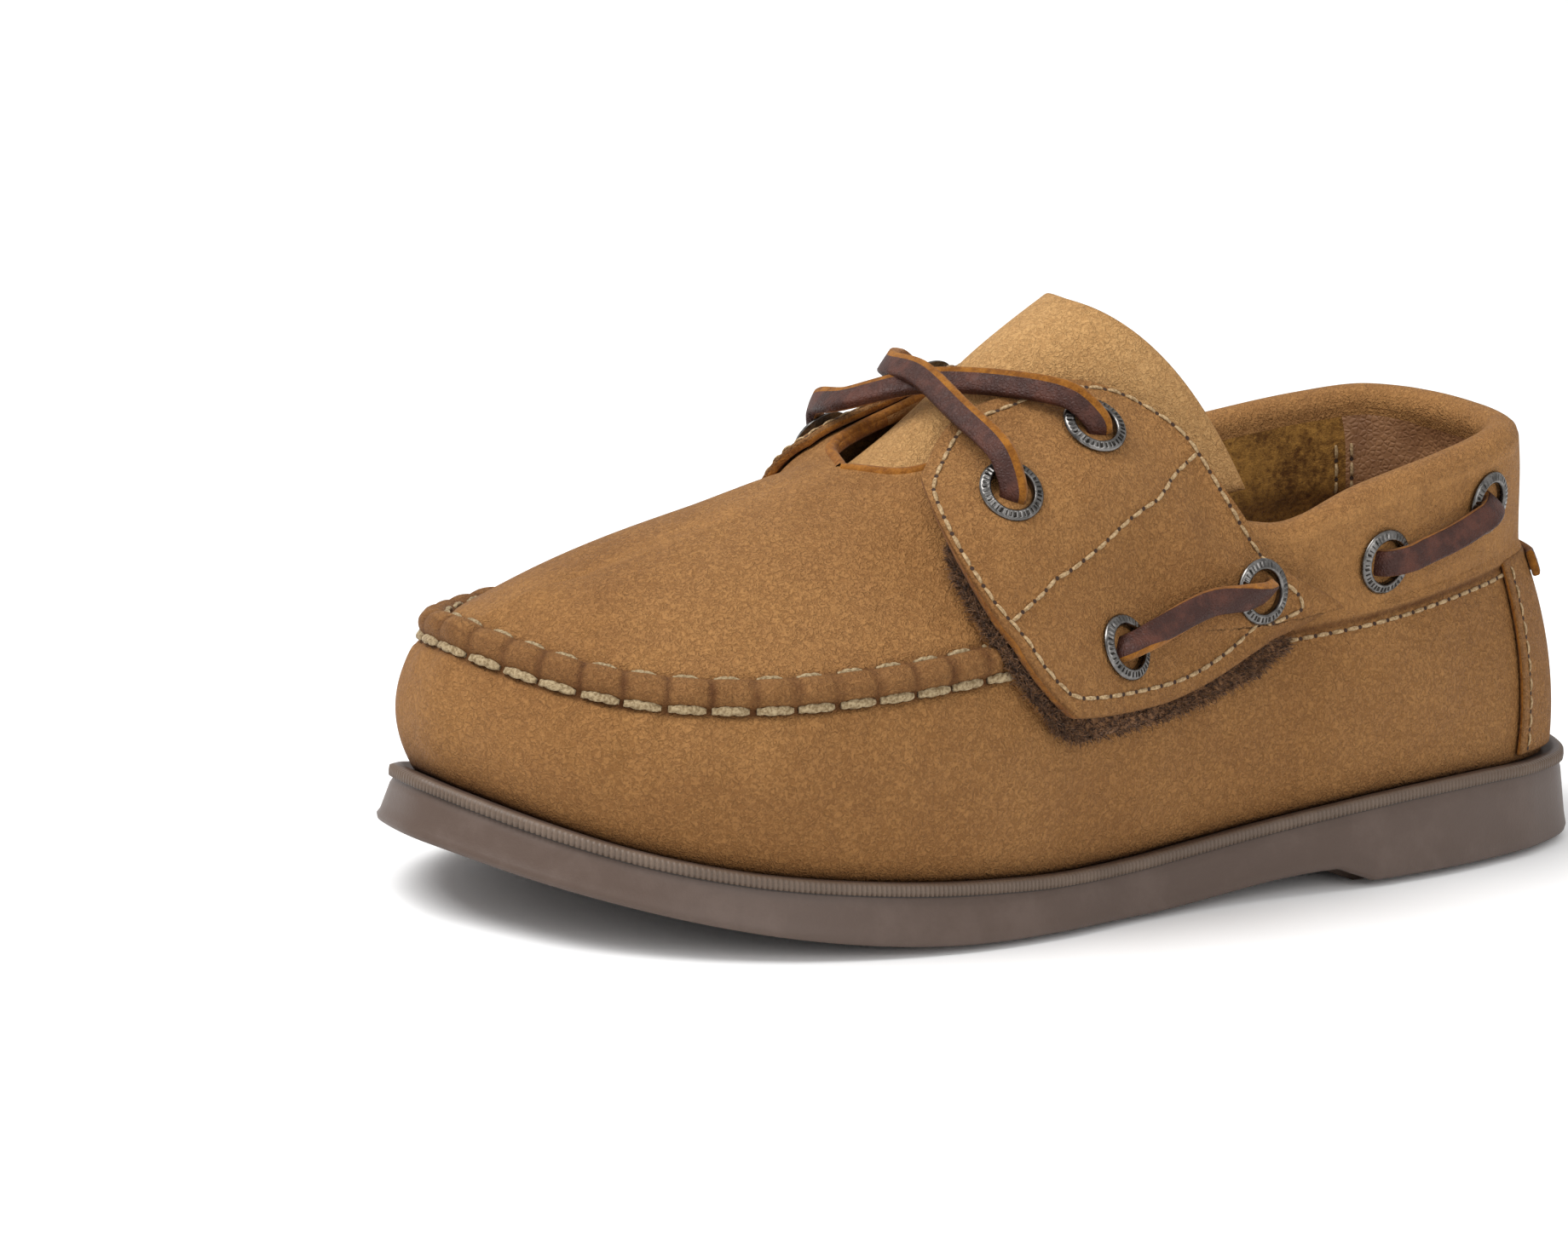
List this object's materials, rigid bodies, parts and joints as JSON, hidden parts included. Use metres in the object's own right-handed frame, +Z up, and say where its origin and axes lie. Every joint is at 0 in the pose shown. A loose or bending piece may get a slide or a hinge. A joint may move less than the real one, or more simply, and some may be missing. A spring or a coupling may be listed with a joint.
{
  "type": "boat shoe",
  "caption": "Low leather shoe for a small left foot, with a raised moccasin seam, a side flap that presses shut, laces round the collar and a rubber sole.",
  "frame": {"origin": "on the floor under the middle of the heel, on the heel's flat tread", "axes": "+X to the toe along the sole's length, +Y to the outer side of the left foot, +Z up"},
  "size_m": [0.2158, 0.0858, 0.0906],
  "materials": {
    "tan_leather": "matte nubuck",
    "lining_leather": "smooth",
    "sole_rubber": "matte",
    "loop_pile": "fuzzy",
    "lace_leather": "waxed",
    "eyelet_metal": "dark nickel"
  },
  "bodies": {
    "root": {"outsole": "sole_rubber", "upper": "tan_leather", "insole": "lining_leather", "tongue": "tan_leather", "pile_pad": "loop_pile", "lateral_flap": "tan_leather", "medial_eyestay": "tan_leather", "backstay": "tan_leather", "lace_crossing": "lace_leather", "lace_bar_flap": "lace_leather", "lace_bar_outer": "lace_leather", "lace_bar_inner": "lace_leather", "lace_bar_heel": "lace_leather", "eyelet_flap_front": "eyelet_metal", "eyelet_flap_rear": "eyelet_metal", "eyelet_flap_bar_front": "eyelet_metal", "eyelet_flap_bar_rear": "eyelet_metal", "eyelet_outer_collar_front": "eyelet_metal", "eyelet_outer_collar_rear": "eyelet_metal", "eyelet_inner_collar_front": "eyelet_metal", "eyelet_inner_collar_rear": "eyelet_metal", "eyelet_inner_front": "eyelet_metal", "eyelet_inner_rear": "eyelet_metal"}
  },
  "joints": []
}
